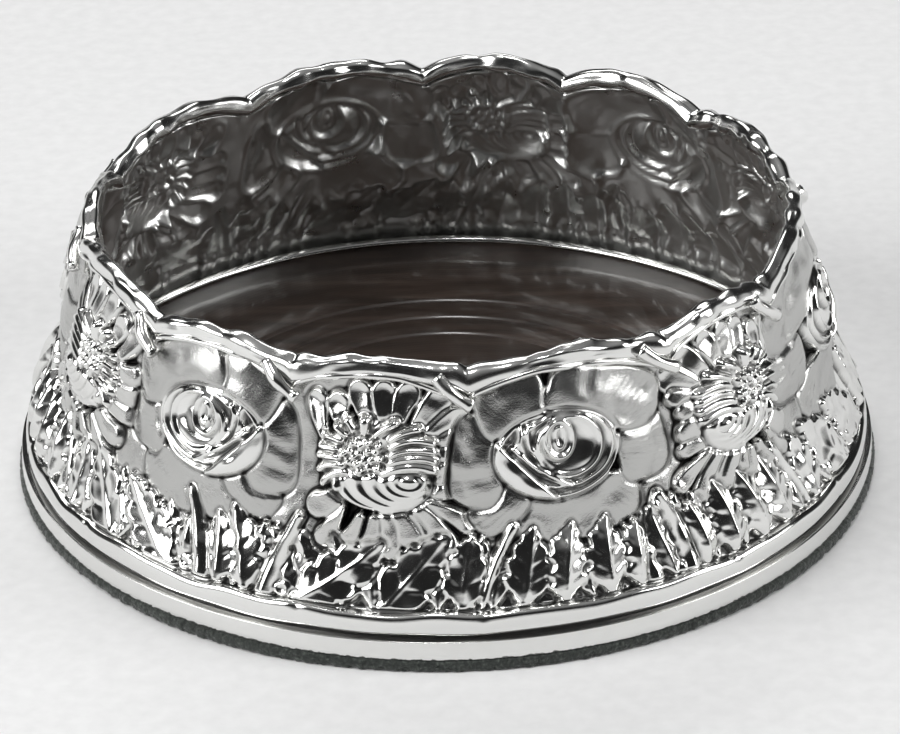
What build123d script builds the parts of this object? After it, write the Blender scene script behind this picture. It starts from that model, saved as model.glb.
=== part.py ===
from build123d import *
from math import cos, degrees, hypot, pi, radians, sin, sqrt
import os

# Wine bottle coaster: a chased silver gallery of roses and asters round a turned wooden floor.
# Millimetres, +Z up, origin at the middle of the felt's underside, front of the coaster at -Y.
# Angles go round from the front (-Y) towards +X.

# Felt pad under the whole base
felt_thickness = 2.0
felt_overhang = 0.4

# Plain foot band with its inward ledge
band_radius = 75.6
band_taper = 0.3
band_height = 3.4
band_wall = 1.4
band_edge_round = 0.5
ledge_thickness = 1.0
ledge_width = 2.6

# Turned wooden floor, rebated under the ledge and flush with it
wood_clearance = 0.2
turned_ring_radii = (33.0, 39.6, 46.4)
turned_ring_width = 1.6
turned_ring_depth = 0.35

# Brass pins that hold the floor up against the ledge
pin_count = 4
pin_radius = 0.4
pin_head_radius = 0.65
pin_head_thickness = 0.5
pin_point_cover = 0.4
pin_clearance = 0.1

# Domed bezel strip over the joint between wood and silver
bezel_width = 2.2
bezel_height = 1.0
bezel_clearance = 0.2

# Gallery wall: one sheet with a neck, a plain ribbon and a concave flare
sheet_thickness = 1.1
neck_inset = 1.7
neck_height = 0.9
ribbon_overhang = 0.6
ribbon_slope = 1.5
ribbon_height = 3.4
ribbon_step = 0.7
waist_inset = 6.1
waist_rise = 15.3
mouth_inset = 11.4
mouth_rise = 38.65

# Twelve scallops round the mouth, one over each flower, set out by eye: each has its share of the round
lobe_shares = (31.7, 24.5, 40.9, 30.3, 27.2, 25.3, 32.7, 36.8, 25.3, 32.8, 26.1, 26.4)
first_valley_angle = 3.2
scallop_rise = 3.5

# Branch wire along the scallops, with a knot and a cut twig in each valley
branch_radius = 1.65
branch_seat_clearance = 0.2
knot_rise = 0.45
twig_radius = 1.2
twig_length = 5.0
twig_lean = 40.0
twig_lift = 0.8

# Asters, as stations from the middle outwards: reach, lift on a petal, lift between petals
aster_rise = 22.7
aster_middle_lift = 3.7
aster_stations = (
    (2.8, 3.6, 3.6),
    (3.4, 2.6, 2.4),
    (5.4, 3.7, 2.6),
    (7.6, 3.0, 1.7),
    (9.2, 1.6, 0.6),
    (12.6, 2.1, 0.4),
    (14.2, 1.1, 0.0),
)

# Roses, as stations from the bud outwards: reach, lift on a petal, lift between petals
rose_rise = 23.5
rose_middle_lift = 3.8
rose_flattening = 0.82
rose_petals = 6
rose_whorl_shift = 0.5
rose_bud_stations = (
    (1.3, 3.5, 3.5),
    (2.2, 2.4, 2.4),
    (3.4, 3.7, 3.7),
    (4.8, 2.3, 2.3),
    (6.4, 3.5, 3.5),
)
rose_petal_stations = (
    (8.8, 2.6, 2.3),
    (9.8, 0.9, 0.6),
    (13.2, 2.2, 0.6),
    (15.6, 1.1, 0.0),
)

# Serrated leaves between the ribbon and the flowers
leaves_per_flower = 3
leaf_height = 8.9
leaf_ridge_lift = 2.3
leaf_edge_lift = 0.9
leaf_notch = 0.75
leaf_lean = 0.25

# Panel of each flower, and the hollow behind it on the inside of the sheet
panel_margin = 0.5
ground_lift = 0.2
hollow_radius = 8.0
hollow_depth = 1.6
hollow_slope = 0.75

# Counts of facets on the panels, the plain rings and the branch
rays_per_side = 6
panel_side_steps = 6
panel_top_steps = 8
hollow_rays_per_side = 3
hollow_side_steps = 4
ring_steps_per_flower = 6
branch_steps = 10
branch_sides = 8

# Levels, from the felt up
band_top = felt_thickness + band_height
ledge_underside = band_top - ledge_thickness
pin_bite = ledge_thickness - pin_point_cover
ribbon_foot = band_top + neck_height
ribbon_top = ribbon_foot + ribbon_height
leaf_top = ribbon_top + leaf_height
aster_level = ribbon_top + aster_rise
rose_level = ribbon_top + rose_rise
branch_peak = ribbon_top + mouth_rise
wall_peak = branch_peak - branch_radius - branch_seat_clearance
wall_valley = wall_peak - scallop_rise

# Radii, from the foot band in
felt_radius = band_radius + felt_overhang
band_inner_radius = band_radius - band_wall
ledge_inner_radius = band_inner_radius - ledge_width
wood_edge_radius = band_inner_radius - wood_clearance
wood_field_radius = ledge_inner_radius - wood_clearance
pin_ring_radius = (ledge_inner_radius + band_inner_radius) / 2
neck_radius = band_radius - neck_inset
ribbon_foot_radius = neck_radius + ribbon_overhang
ribbon_top_radius = ribbon_foot_radius - ribbon_slope
flare_foot_radius = ribbon_top_radius - ribbon_step
waist_radius = flare_foot_radius - waist_inset
mouth_radius = flare_foot_radius - mouth_inset

# Counts and angles round the wall
flower_count = len(lobe_shares)
leaf_count = leaves_per_flower * flower_count


def turn_to(flower):
    """Angle at a place counted in flowers from the first valley, with whole numbers in the valleys."""
    whole = int(flower // 1)
    rounds, n = divmod(whole, flower_count)
    passed = sum(lobe_shares[:n]) + lobe_shares[n] * (flower - whole)
    return first_valley_angle + 360 * (rounds + passed / sum(lobe_shares))


def circle_through(a, b, c):
    """Centre and radius of the circle through three points."""
    turn = 2 * (a[0] * (b[1] - c[1]) + b[0] * (c[1] - a[1]) + c[0] * (a[1] - b[1]))
    squares = [p[0] ** 2 + p[1] ** 2 for p in (a, b, c)]
    x = squares[0] * (b[1] - c[1]) + squares[1] * (c[1] - a[1]) + squares[2] * (a[1] - b[1])
    y = squares[0] * (c[0] - b[0]) + squares[1] * (a[0] - c[0]) + squares[2] * (b[0] - a[0])
    centre = (x / turn, y / turn)
    return centre, hypot(a[0] - centre[0], a[1] - centre[1])


# The flare is one arc through foot, waist and mouth, and its centre lies outside the wall
flare_centre, flare_radius = circle_through(
    (flare_foot_radius, ribbon_top),
    (waist_radius, ribbon_top + waist_rise),
    (mouth_radius, branch_peak),
)


def flare_at(height, lift=0.0):
    """Distance from the coaster's axis to the flare, or to a face lifted off it, at a height."""
    radius = flare_radius - lift
    return flare_centre[0] - sqrt(radius ** 2 - (height - flare_centre[1]) ** 2)


def outward(angle):
    return Vector(sin(radians(angle)), -cos(radians(angle)), 0)


def ring_point(angle, radius, height):
    return outward(angle) * radius + Vector(0, 0, height)


def wall_point(angle, height, lift=0.0):
    """Point lifted off the outer face of the wall along its normal."""
    radius = flare_at(height)
    normal = ring_point(angle, flare_centre[0] - radius, flare_centre[1] - height).normalized()
    return ring_point(angle, radius, height) + normal * lift


def ring_row(place):
    """Closed row of points round the coaster, each put in its place by its angle."""
    steps = ring_steps_per_flower * flower_count
    return [place(turn_to(k / ring_steps_per_flower)) for k in range(steps + 1)]


def circle_row(radius, height):
    return ring_row(lambda angle: ring_point(angle, radius, height))


def bridge(near, far):
    """Flat triangles between two rows of points that run the same way."""
    triangles = []
    i = 0
    j = 0
    while i < len(near) - 1 or j < len(far) - 1:
        next_near = (i + 1) / max(len(near) - 1, 1)
        next_far = (j + 1) / max(len(far) - 1, 1)
        if j == len(far) - 1 or (i < len(near) - 1 and next_near <= next_far):
            triangles.append((near[i], near[i + 1], far[j]))
            i += 1
        else:
            triangles.append((near[i], far[j + 1], far[j]))
            j += 1
    return triangles


def bridge_rows(rows):
    return [triangle for near, far in zip(rows, rows[1:]) for triangle in bridge(near, far)]


def faceted_solid(triangles):
    return Solid(Shell([Face(Wire.make_polygon(triangle)) for triangle in triangles]))


def scallop(share):
    """Rise along a scallop, from 0 in the valleys at shares -1 and 1 to its peak over the flower."""
    return scallop_rise * (1 - share ** 2)


def panel_sides(n, bottom, side_steps, lift, ground):
    """Right, top, left and bottom edge of a flower's panel, with its ground raised below the rim."""
    angle = turn_to(n + 0.5)
    half = turn_to(n + 1) - angle
    climb = []
    for k in range(1, side_steps + 1):
        height = leaf_top + (wall_valley - leaf_top) * k / side_steps
        climb.append((height, lift + (ground if k < side_steps else 0)))
    shares = [1 - 2 * k / panel_top_steps for k in range(panel_top_steps + 1)]
    right = bottom[-1:] + [wall_point(angle + half, *spot) for spot in climb]
    top = [wall_point(angle + half * share, wall_valley + scallop(share), lift) for share in shares]
    left = [wall_point(angle - half, *spot) for spot in reversed(climb)] + bottom[:1]
    return right, top, left, bottom


def panel(middle, rings, sides):
    """Facets from a middle point through closed rings to the four sides of a panel."""
    triangles = []
    per_side = (len(rings[0]) - 1) // len(sides)
    for n, side in enumerate(sides):
        rows = [ring[per_side * n:per_side * (n + 1) + 1] for ring in rings]
        triangles += bridge_rows([[middle]] + rows + [side])
    return triangles


def turns_round(per_side):
    """Turns of the rays about a flower, from the lower right corner of its panel."""
    return [2 * pi * k / (4 * per_side) - pi / 4 for k in range(4 * per_side)]


def flower_ring(angle, level, spots):
    """Closed ring on the wall from spots across, up and off the face about a flower's middle."""
    ring = []
    for across, up, lift in spots:
        height = level + up
        ring.append(wall_point(angle + degrees(across / flare_at(height)), height, lift))
    return ring + ring[:1]


def flower_fit(n, level, reach, flattening=1.0):
    """Shares across and up that a flower shrinks to where its panel leaves it too little room."""
    room_across = flare_at(level) * radians(turn_to(n + 1) - turn_to(n + 0.5)) - panel_margin
    room_up = wall_peak - level - panel_margin
    room_down = level - leaf_top - panel_margin
    return min(1, room_across / reach), min(1, min(room_up, room_down) / (reach * flattening))


def aster_rings(n):
    """Rings of an aster: every second ray runs along a petal, and the others between petals."""
    wide, tall = flower_fit(n, aster_level, aster_stations[-1][0])
    rings = []
    for reach, on_petal, between in aster_stations:
        spots = []
        for k, turn in enumerate(turns_round(rays_per_side)):
            lift = between if k % 2 else on_petal
            spots.append((wide * reach * cos(turn), tall * reach * sin(turn), lift))
        rings.append(flower_ring(turn_to(n + 0.5), aster_level, spots))
    return rings


def rose_rings(n):
    """Rings of a rose: rolled lips round the bud, each set off to another side, and broad petals."""
    wide, tall = flower_fit(n, rose_level, rose_petal_stations[-1][0], rose_flattening)
    rings = []
    for whorl, (reach, on_petal, between) in enumerate(rose_bud_stations + rose_petal_stations):
        shift = rose_whorl_shift if whorl < len(rose_bud_stations) else 0
        spots = []
        for turn in turns_round(rays_per_side):
            lift = between + (on_petal - between) * (1 + cos(rose_petals * turn)) / 2
            across = reach * cos(turn) + shift * cos(2 * whorl)
            up = reach * sin(turn) + shift * sin(2 * whorl)
            spots.append((wide * across, tall * rose_flattening * up, lift))
        rings.append(flower_ring(turn_to(n + 0.5), rose_level, spots))
    return rings


def hollow_rings(n, level):
    """Rings of the hollow behind a flower, one half way out and one at its edge."""
    fit = min(flower_fit(n, level, hollow_radius))
    rings = []
    for reach, depth in ((hollow_radius / 2, hollow_depth * hollow_slope), (hollow_radius, 0)):
        turns = turns_round(hollow_rays_per_side)
        spots = [(fit * reach * cos(turn), fit * reach * sin(turn), depth - sheet_thickness) for turn in turns]
        rings.append(flower_ring(turn_to(n + 0.5), level, spots))
    return rings


def leaf_rows():
    """Closed rows of points up the belt of leaves, whose tips stand on the ribbon."""
    columns = ((-1, 0.1), (-0.62, 0.85), (-0.3, 0.4), (0, 1), (0.3, 0.4), (0.62, 0.85))
    rows = []
    for n, share in enumerate((0, 0.3, 0.55, 0.8, 1)):
        height = ribbon_top + leaf_height * share
        spread = sin(pi * (0.08 + 0.5 * share)) * (1 if n % 2 else leaf_notch)
        ridge = leaf_edge_lift + (leaf_ridge_lift - leaf_edge_lift) * sin(pi * (0.1 + 0.7 * share))
        row = []
        for leaf in range(leaf_count):
            lean = (leaf_lean if leaf % 2 else -leaf_lean) * share
            for column, crown in columns:
                across = column if column == -1 else column * spread + lean
                angle = turn_to((leaf + 0.5 + across / 2) / leaves_per_flower)
                row.append(wall_point(angle, height, ridge * crown))
        rows.append(row + row[:1])
    return rows


def gallery_wall():
    """Chased wall: one sheet, raised outside into flowers and leaves and hollow behind the flowers."""
    leaves = leaf_rows()
    inner_belt = ring_row(lambda angle: wall_point(angle, leaf_top, -sheet_thickness))
    foot_rows = [
        leaves[0],
        circle_row(ribbon_top_radius, ribbon_top),
        circle_row(ribbon_foot_radius, ribbon_foot),
        circle_row(neck_radius, ribbon_foot),
        circle_row(neck_radius, band_top),
        circle_row(flare_at(band_top, -sheet_thickness), band_top),
        inner_belt,
    ]
    triangles = bridge_rows(leaves) + bridge_rows(foot_rows)
    outer_steps = (len(leaves[-1]) - 1) // flower_count
    for n in range(flower_count):
        angle = turn_to(n + 0.5)
        if n % 2:
            level, middle_lift, rings = aster_level, aster_middle_lift, aster_rings(n)
        else:
            level, middle_lift, rings = rose_level, rose_middle_lift, rose_rings(n)
        outer_foot = leaves[-1][outer_steps * n:outer_steps * (n + 1) + 1]
        inner_foot = inner_belt[ring_steps_per_flower * n:ring_steps_per_flower * (n + 1) + 1]
        outer = panel_sides(n, outer_foot, panel_side_steps, 0, ground_lift)
        inner = panel_sides(n, inner_foot, hollow_side_steps, -sheet_thickness, 0)
        hollow_middle = wall_point(angle, level, hollow_depth - sheet_thickness)
        triangles += panel(wall_point(angle, level, middle_lift), rings, outer)
        triangles += panel(hollow_middle, hollow_rings(n, level), inner)
        triangles += bridge(outer[1], inner[1])
    return faceted_solid(triangles)


def branch_rim():
    """Branch wire: an arc over each flower, and a knot with a cut twig in each valley."""
    rings = []
    for step in range(branch_steps * flower_count):
        share = 2 * (step % branch_steps) / branch_steps - 1
        angle = turn_to(step / branch_steps)
        seat = wall_valley + scallop(share)
        swelling = branch_radius + knot_rise * share ** 8
        middle = flare_at(seat) - sheet_thickness / 2
        ring = []
        for side in range(branch_sides):
            turn = 2 * pi * side / branch_sides
            height = seat + branch_seat_clearance + swelling * (1 + sin(turn))
            ring.append(ring_point(angle, middle + swelling * cos(turn), height))
        rings.append(ring + ring[:1])
    triangles = []
    for step, near in enumerate(rings):
        far = rings[(step + 1) % len(rings)]
        if step % branch_steps:
            triangles += bridge(near, far)
        else:
            triangles += bridge(near[1:-1], far[1:-1])
            triangles += twig(turn_to(step / branch_steps), near, far)
    return faceted_solid(triangles)


def twig(angle, near, far):
    """Cut twig that grows out of the outer side of the branch and leans down the wall."""
    root = [near[-2], far[-2], far[0], far[1], near[1], near[0]]
    centre = sum(root, Vector()) / len(root)
    sideways = twig_length * sin(radians(twig_lean))
    end_height = centre.Z - twig_length * cos(radians(twig_lean))
    end_angle = angle + degrees(sideways / flare_at(end_height))
    end_centre = wall_point(end_angle, end_height, twig_radius + twig_lift)
    along = (end_centre - centre).normalized()
    end = []
    for corner in root:
        spoke = corner - centre
        spoke = (spoke - along * spoke.dot(along)).normalized()
        end.append(end_centre + spoke * twig_radius)
    return bridge_rows([root + root[:1], end + end[:1], [end_centre]])


def turned(outline):
    """Solid turned about the coaster's axis from an outline of radius and height."""
    return revolve(Plane.XZ * make_face(outline), Axis.Z)


def foot_band():
    """Plain band with an inward ledge that the wall stands on and the floor is pinned to."""
    top_radius = band_radius - band_taper
    round_start = (top_radius, band_top - band_edge_round)
    round_end = (top_radius - band_edge_round, band_top)
    sides = Polyline(
        round_end,
        (ledge_inner_radius, band_top),
        (ledge_inner_radius, ledge_underside),
        (band_inner_radius, ledge_underside),
        (band_inner_radius, felt_thickness),
        (band_radius, felt_thickness),
        round_start,
    )
    shoulder = RadiusArc(round_start, round_end, -band_edge_round)
    return turned([sides, shoulder]) - pin_ring(pin_radius + pin_clearance, ledge_underside, pin_bite)


def pin_ring(radius, foot, length):
    """Ring of upright cylinders on the pins' centres."""
    spots = [ring_point(360 * k / pin_count, pin_ring_radius, foot) for k in range(pin_count)]
    return [Solid.make_cylinder(radius, length, Plane(spot)) for spot in spots]


def wood_base():
    """Turned floor with three shallow rings, rebated at its edge and bored for the pins."""
    points = [(0, felt_thickness), (wood_edge_radius, felt_thickness), (wood_edge_radius, ledge_underside)]
    points += [(wood_field_radius, ledge_underside), (wood_field_radius, band_top)]
    for radius in reversed(turned_ring_radii):
        points.append((radius + turned_ring_width / 2, band_top))
        points.append((radius, band_top - turned_ring_depth))
        points.append((radius - turned_ring_width / 2, band_top))
    points.append((0, band_top))
    shanks = pin_ring(pin_radius + pin_clearance, felt_thickness, ledge_underside - felt_thickness)
    heads = pin_ring(pin_head_radius + pin_clearance, felt_thickness, pin_head_thickness)
    return turned([Polyline(*points, points[0])]) - shanks - heads


def base_pins():
    """Brass pins, heads let into the wood from below and points in the ledge."""
    heads = pin_ring(pin_head_radius, felt_thickness, pin_head_thickness)
    shanks = pin_ring(pin_radius, felt_thickness, ledge_underside - felt_thickness + pin_bite)
    return Compound([head.fuse(shank) for head, shank in zip(heads, shanks)])


def bezel_ring():
    """Domed strip over the joint of floor and ledge, against the foot of the wall."""
    outer = flare_at(band_top, -sheet_thickness) - bezel_clearance
    inner = outer - bezel_width
    crown = ThreePointArc((inner, band_top), ((inner + outer) / 2, band_top + bezel_height), (outer, band_top))
    return turned([crown, Line((outer, band_top), (inner, band_top))])


def felt_pad():
    return Solid.make_cylinder(felt_radius, felt_thickness)


os.makedirs("parts", exist_ok=True)
for piece in (gallery_wall, branch_rim, foot_band, bezel_ring, wood_base, base_pins, felt_pad):
    export_step(piece(), f"parts/{piece.__name__}.step", write_pcurves=False)
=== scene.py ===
from math import cos, degrees, hypot, pi, radians, sin

import bpy
import numpy as np
from mathutils import Matrix, Vector


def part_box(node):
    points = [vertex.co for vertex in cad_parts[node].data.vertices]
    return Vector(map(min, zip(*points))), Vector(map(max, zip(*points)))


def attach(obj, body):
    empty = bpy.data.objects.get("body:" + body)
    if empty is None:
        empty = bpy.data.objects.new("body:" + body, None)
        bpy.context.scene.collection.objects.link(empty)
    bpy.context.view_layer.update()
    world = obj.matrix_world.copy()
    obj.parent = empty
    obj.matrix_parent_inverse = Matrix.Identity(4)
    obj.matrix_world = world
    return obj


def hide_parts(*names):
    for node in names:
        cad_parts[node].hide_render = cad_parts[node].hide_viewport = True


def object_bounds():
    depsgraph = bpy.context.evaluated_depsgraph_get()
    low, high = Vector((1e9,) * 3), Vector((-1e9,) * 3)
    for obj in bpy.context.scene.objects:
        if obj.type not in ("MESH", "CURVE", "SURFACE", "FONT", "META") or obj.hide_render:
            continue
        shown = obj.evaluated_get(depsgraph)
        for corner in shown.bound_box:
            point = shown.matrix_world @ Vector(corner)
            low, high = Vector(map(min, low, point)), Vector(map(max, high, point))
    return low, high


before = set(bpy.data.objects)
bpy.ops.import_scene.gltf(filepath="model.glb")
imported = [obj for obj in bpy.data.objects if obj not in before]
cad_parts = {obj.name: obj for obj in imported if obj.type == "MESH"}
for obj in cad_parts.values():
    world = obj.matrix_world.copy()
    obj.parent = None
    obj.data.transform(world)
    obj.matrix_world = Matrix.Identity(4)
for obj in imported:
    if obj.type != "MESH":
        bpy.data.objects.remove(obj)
cad_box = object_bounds()

# Felt pad
# A disc of dark wool felt, cut a little larger than the foot and glued under it.
# Its cut edge shows below the silver as a fuzzy, slightly uneven dark line.
mm = 0.001
chance = np.random.default_rng(12)
felt_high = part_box("felt_pad")[1]
felt_radius = felt_high[0] / mm
felt_top = felt_high[2] / mm
felt_columns = 1080
felt_room = 0.35  # what the cut lies inside the CAD edge, so that its fuzz has room
felt_bulge = 0.25
felt_low_corner = 0.35
felt_high_corner = 0.4


def linear(code):
    """Linear colour of an sRGB hex value."""
    parts = [int(code[i:i + 2], 16) / 255 for i in (1, 3, 5)]
    return [p / 12.92 if p <= 0.04045 else ((p + 0.055) / 1.055) ** 2.4 for p in parts] + [1.0]


def add_node(owner, kind, values=None, stops=(), **settings):
    """Adds a shader node. Each value goes to the input of its name, as a link where it is a socket.

    Stops are the places and hex colours of a node that has a colour ramp.
    """
    tree = owner.node_tree
    made = tree.nodes.new(kind)
    for name, value in settings.items():
        setattr(made, name, value)
    for name, value in (values or {}).items():
        if isinstance(value, bpy.types.NodeSocket):
            tree.links.new(value, made.inputs[name])
        else:
            made.inputs[name].default_value = value
    if stops:
        shades = made.color_ramp.elements
        while len(shades) < len(stops):
            shades.new(0.5)
        for shade, (place, code) in zip(shades, stops):
            shade.position = place
            shade.color = linear(code)
    return made


def new_material(name):
    """Material with no nodes yet."""
    material = bpy.data.materials.new(name)
    material.use_nodes = True
    material.node_tree.nodes.clear()
    return material


def even_turns(count):
    """Angles round the coaster, from the front towards the right."""
    return np.arange(count) * 2 * pi / count


def ripple(turns, lowest, highest, size):
    """Uneven wave round the coaster, as hand work leaves it: its fewest and most swings, and its size."""
    wave = np.zeros_like(turns)
    for k in range(lowest, highest + 1):
        wave += chance.normal() * np.cos(k * turns + chance.uniform(0, 2 * pi))
    return wave * size / np.sqrt(highest - lowest + 1)


def piece_from(name, points, quads, material):
    """Mesh object from points in millimetres and faces of four corners."""
    mesh = bpy.data.meshes.new(name)
    mesh.vertices.add(len(points))
    mesh.vertices.foreach_set("co", (np.asarray(points, float) * mm).ravel())
    mesh.loops.add(quads.size)
    mesh.loops.foreach_set("vertex_index", quads.ravel().astype(np.int32))
    mesh.polygons.add(len(quads))
    mesh.polygons.foreach_set("loop_start", np.arange(0, quads.size, 4, dtype=np.int32))
    mesh.polygons.foreach_set("use_smooth", np.ones(len(quads), bool))
    mesh.update(calc_edges=True)
    mesh.validate()
    mesh.materials.append(material)
    piece = bpy.data.objects.new(name, mesh)
    bpy.context.collection.objects.link(piece)
    return piece


def ring_points(radii, heights, count):
    """Points of a ring: row by row round its section, and along each row round the coaster."""
    turns = even_turns(count)
    radii = np.broadcast_to(np.asarray(radii, float).reshape(len(radii), -1), (len(radii), count))
    heights = np.broadcast_to(np.asarray(heights, float).reshape(len(heights), -1), (len(heights), count))
    return np.stack([radii * np.sin(turns), -radii * np.cos(turns), heights], -1).reshape(-1, 3)


def ring_quads(rows, count, closed=True):
    """Faces between the rows of a ring, whose section is a closed loop or an open line."""
    row = np.arange(rows if closed else rows - 1)[:, None]
    column = np.arange(count)[None, :]
    after = (column + 1) % count
    above = (row + 1) % rows
    corners = [row * count + column, row * count + after, above * count + after, above * count + column]
    return np.stack(corners, -1).reshape(-1, 4)


def ring_piece(name, radii, heights, count, material, closed=True):
    """Mesh object of a ring, from the radius and height of each row of its section."""
    quads = ring_quads(len(radii), count, closed)
    return piece_from(name, ring_points(radii, heights, count), quads, material)


def wool_felt():
    """Pressed and dyed wool: matt, with loose fibres that catch a little light."""
    fibre_mm = 0.5  # single fibres are too fine to show, so these are small tufts of them
    material = new_material("dyed_wool_felt")
    place = add_node(material, "ShaderNodeTexCoord").outputs["Object"]
    fibres = add_node(
        material, "ShaderNodeTexNoise", {"Vector": place, "Scale": 1 / (fibre_mm * mm), "Detail": 6.0}
    )
    tone = add_node(
        material, "ShaderNodeValToRGB", {"Fac": fibres.outputs["Fac"]},
        stops=[(0.3, "#1C201E"), (0.55, "#333834"), (0.8, "#626862")],
    )
    nap = add_node(
        material, "ShaderNodeBump", {"Height": fibres.outputs["Fac"], "Strength": 0.9, "Distance": 0.3 * mm}
    )
    surface = add_node(
        material, "ShaderNodeBsdfPrincipled",
        {"Base Color": tone.outputs[0], "Roughness": 0.95, "Sheen Weight": 0.35, "Normal": nap.outputs[0]},
    )
    add_node(material, "ShaderNodeOutputMaterial", {"Surface": surface.outputs[0]})
    return material


felt_turns = even_turns(felt_columns)
felt_edge = felt_radius - felt_room + ripple(felt_turns, 3, 9, 0.12) + ripple(felt_turns, 60, 260, 0.1)
felt_radii = [np.zeros(felt_columns), felt_edge - felt_low_corner]
felt_heights = [0.0, 0.0]
for share in (0.1, 0.25, 0.4, 0.55, 0.7, 0.85, 0.95):
    fuzz = ripple(felt_turns, 90, 300, 0.07)
    stray_fibres = chance.normal(0, 0.1, felt_columns)
    bulge = felt_bulge * sin(pi * share) + fuzz + stray_fibres
    felt_radii.append(np.minimum(felt_edge + bulge, felt_radius))
    felt_heights.append(felt_top * share)
felt_radii += [felt_edge - felt_high_corner, np.zeros(felt_columns)]
felt_heights += [felt_top, felt_top]
felt = ring_piece("felt_disc", felt_radii, felt_heights, felt_columns, wool_felt(), closed=False)
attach(felt, "root")
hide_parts("felt_pad")

# Foot band
# A plain strip of silver, drawn to section, bent round and soldered, with a ledge inside for the floor.
# It is polished bright, and carries the fine scratches of years of cleaning.
band_low, band_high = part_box("foot_band")
band_radius = band_high[0] / mm
band_foot = band_low[2] / mm
band_top = band_high[2] / mm
band_bore = 74.2
band_ledge_radius = 71.6
band_ledge = 1.0
band_broken_edge = 0.25
band_taper = 0.3
band_shoulder = 0.08
band_seat = 73.0
band_waver = 0.03
ring_columns = 720
silver_bright = "#ECECEA"
silver_satin = "#CACAC8"
# Darkest colour of the chased silver, for its oxide and its painted shade
oxide_and_shade_black = "#262524"


def polished_silver(name, roughness, scratch_mm, oxide_and_shade_strength=None):
    """Sterling silver: mirror bright where polished, with cloudy wear and hairline scratches.

    Chased work is satin where its ground is matted, and dark in what lies deep, partly with oxide and partly
    with painted shade.
    """
    smear_mm = 6
    material = new_material(name)
    place = add_node(material, "ShaderNodeTexCoord").outputs["Object"]
    # Real hairlines are too fine to show, so they are drawn as coarse as scratch_mm
    scratches = add_node(
        material, "ShaderNodeTexNoise",
        {"Vector": place, "Scale": 1 / (scratch_mm * mm), "Detail": 5.0, "Roughness": 0.6},
    )
    smears = add_node(
        material, "ShaderNodeTexNoise", {"Vector": place, "Scale": 1 / (smear_mm * mm), "Detail": 3.0}
    )
    worn = add_node(
        material, "ShaderNodeMapRange",
        {
            "Value": smears.outputs["Fac"],
            "From Min": 0.3,
            "From Max": 0.7,
            "To Min": roughness * 0.7,
            "To Max": roughness * 1.3,
        },
    )
    marks = add_node(
        material, "ShaderNodeBump",
        {"Height": scratches.outputs["Fac"], "Strength": 0.12, "Distance": 0.06 * mm},
    )
    surface = add_node(
        material, "ShaderNodeBsdfPrincipled",
        {
            "Base Color": linear(silver_bright),
            "Metallic": 1.0,
            "Roughness": worn.outputs[0],
            "Normal": marks.outputs[0],
        },
    )
    # Base colour darkens in hollows and grooves: partly oxide, partly painted shade
    if oxide_and_shade_strength is not None:
        deep = add_node(material, "ShaderNodeAttribute", attribute_name="oxide_and_shade").outputs["Fac"]
        matted = add_node(material, "ShaderNodeAttribute", attribute_name="satin").outputs["Fac"]
        grey = add_node(material, "ShaderNodeMath", {0: matted, 1: 0.36}, operation="MULTIPLY")
        darkness = add_node(
            material, "ShaderNodeMath", {0: deep, 1: oxide_and_shade_strength, 2: grey.outputs[0]},
            operation="MULTIPLY_ADD", use_clamp=True,
        )
        tone = add_node(
            material, "ShaderNodeValToRGB", {"Fac": darkness.outputs[0]},
            stops=[(0.0, silver_bright), (0.3, silver_satin), (1.0, oxide_and_shade_black)],
        )
        punched = add_node(
            material, "ShaderNodeMath", {0: matted, 1: 0.09, 2: worn.outputs[0]}, operation="MULTIPLY_ADD"
        )
        dull = add_node(
            material, "ShaderNodeMath", {0: deep, 1: 0.25, 2: punched.outputs[0]}, operation="MULTIPLY_ADD"
        )
        bite = add_node(material, "ShaderNodeMapRange", {"Value": matted, "To Min": 0.12, "To Max": 0.8})
        links = material.node_tree.links
        links.new(tone.outputs[0], surface.inputs["Base Color"])
        links.new(dull.outputs[0], surface.inputs["Roughness"])
        links.new(bite.outputs[0], marks.inputs["Strength"])
    add_node(material, "ShaderNodeOutputMaterial", {"Surface": surface.outputs[0]})
    return material


band_section = [
    (band_ledge_radius, band_top - band_ledge),
    (band_bore, band_top - band_ledge),
    (band_bore, band_foot),
    (band_radius - band_broken_edge, band_foot),
    (band_radius, band_foot + band_broken_edge),
    (band_radius - band_taper / 3, band_foot + 1.2),
    (band_radius - band_taper * 2 / 3, band_foot + 2.3),
]
for share in (0.0, 0.25, 0.5, 0.75, 1.0):
    turn = share * pi / 2
    shoulder_radius = band_radius - band_taper - band_shoulder * (1 - cos(turn))
    band_section.append((shoulder_radius, band_top - band_shoulder * (1 - sin(turn))))
band_section += [(band_seat, band_top), (band_ledge_radius, band_top)]
band_sway = ripple(even_turns(ring_columns), 2, 14, band_waver) - band_waver
band_radii = [np.minimum(radius + band_sway, band_radius) for radius, _ in band_section]
band_heights = [height for _, height in band_section]
plain_silver = polished_silver("drawn_silver_polished", 0.12, 0.25)
band = ring_piece("silver_foot_band", band_radii, band_heights, ring_columns, plain_silver)
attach(band, "root")
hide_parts("foot_band")

# Wooden floor
# A disc of dark mahogany, turned on a lathe with three shallow rings and French polished.
# It is rebated at the edge, where it sits under the ledge of the foot band.
wood_low, wood_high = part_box("wood_base")
wood_edge = wood_high[0] / mm
wood_foot = wood_low[2] / mm
wood_top = wood_high[2] / mm
wood_field = band_ledge_radius - 0.2
wood_broken_edge = 0.3
wood_columns = 360
turned_rings = (33.0, 39.6, 46.4)
turned_ring_width = 1.6
turned_ring_depth = 0.45


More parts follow.
